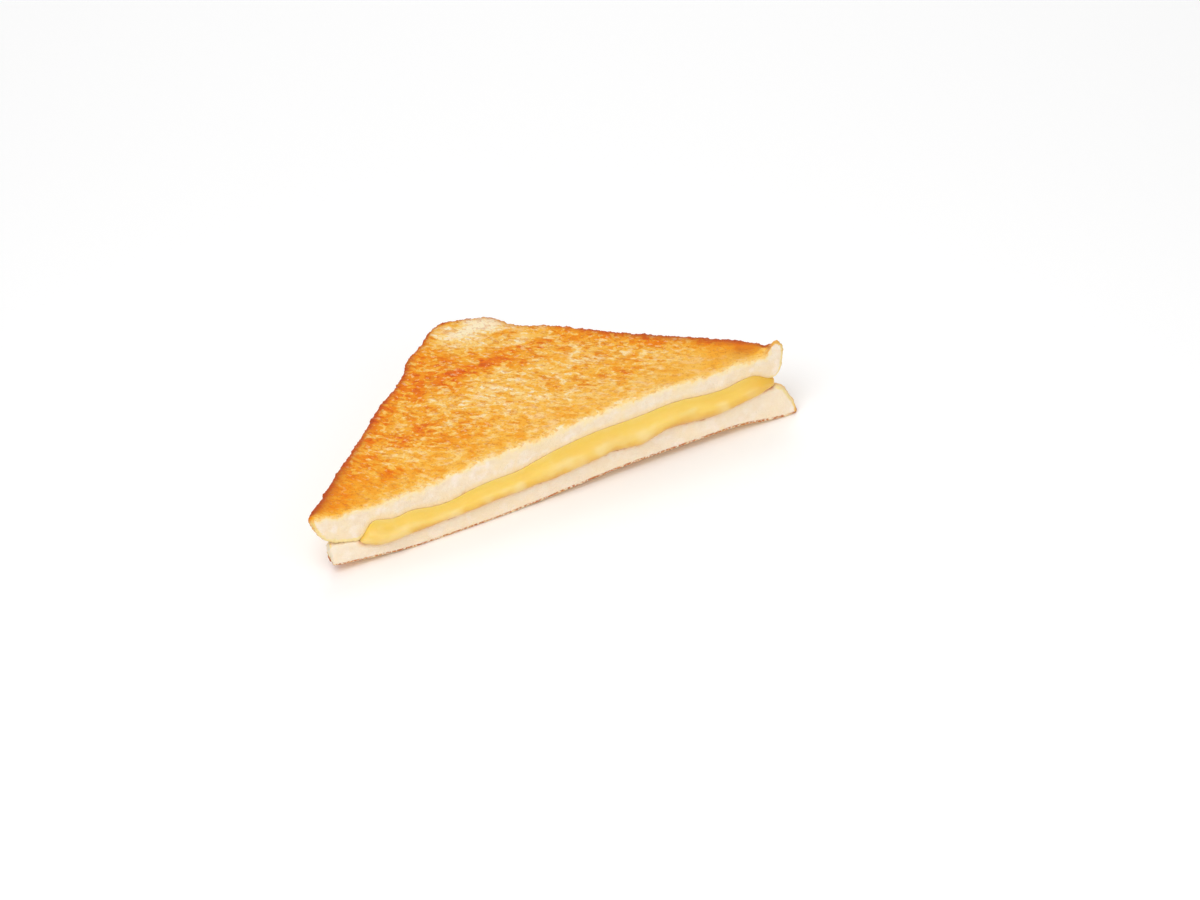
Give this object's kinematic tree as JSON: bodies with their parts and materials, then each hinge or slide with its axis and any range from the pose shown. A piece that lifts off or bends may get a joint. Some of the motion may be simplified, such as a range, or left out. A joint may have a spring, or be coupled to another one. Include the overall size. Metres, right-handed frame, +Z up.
{
  "type": "grilled cheese sandwich half",
  "caption": "Triangular half of a toasted sandwich cut corner to corner: griddled square bread with melted cheese showing at the cut.",
  "frame": {"origin": "middle of the footprint, on the surface it lies on", "axes": "+X along the diagonal cut, +Y from the cut towards the loaf's rounded corner, +Z up"},
  "size_m": [0.1668, 0.0794, 0.0295],
  "materials": {
    "bread_bottom": "dry white crumb at the cut, golden griddled underside, pale tan crust",
    "cheese": "smooth glossy melted yellow cheese",
    "bread_top": "golden brown griddled face with a faint buttery sheen, pale crumb at the cut"
  },
  "bodies": {
    "root": {"bread_bottom": "bread_bottom", "cheese": "cheese", "bread_top": "bread_top"}
  },
  "joints": []
}
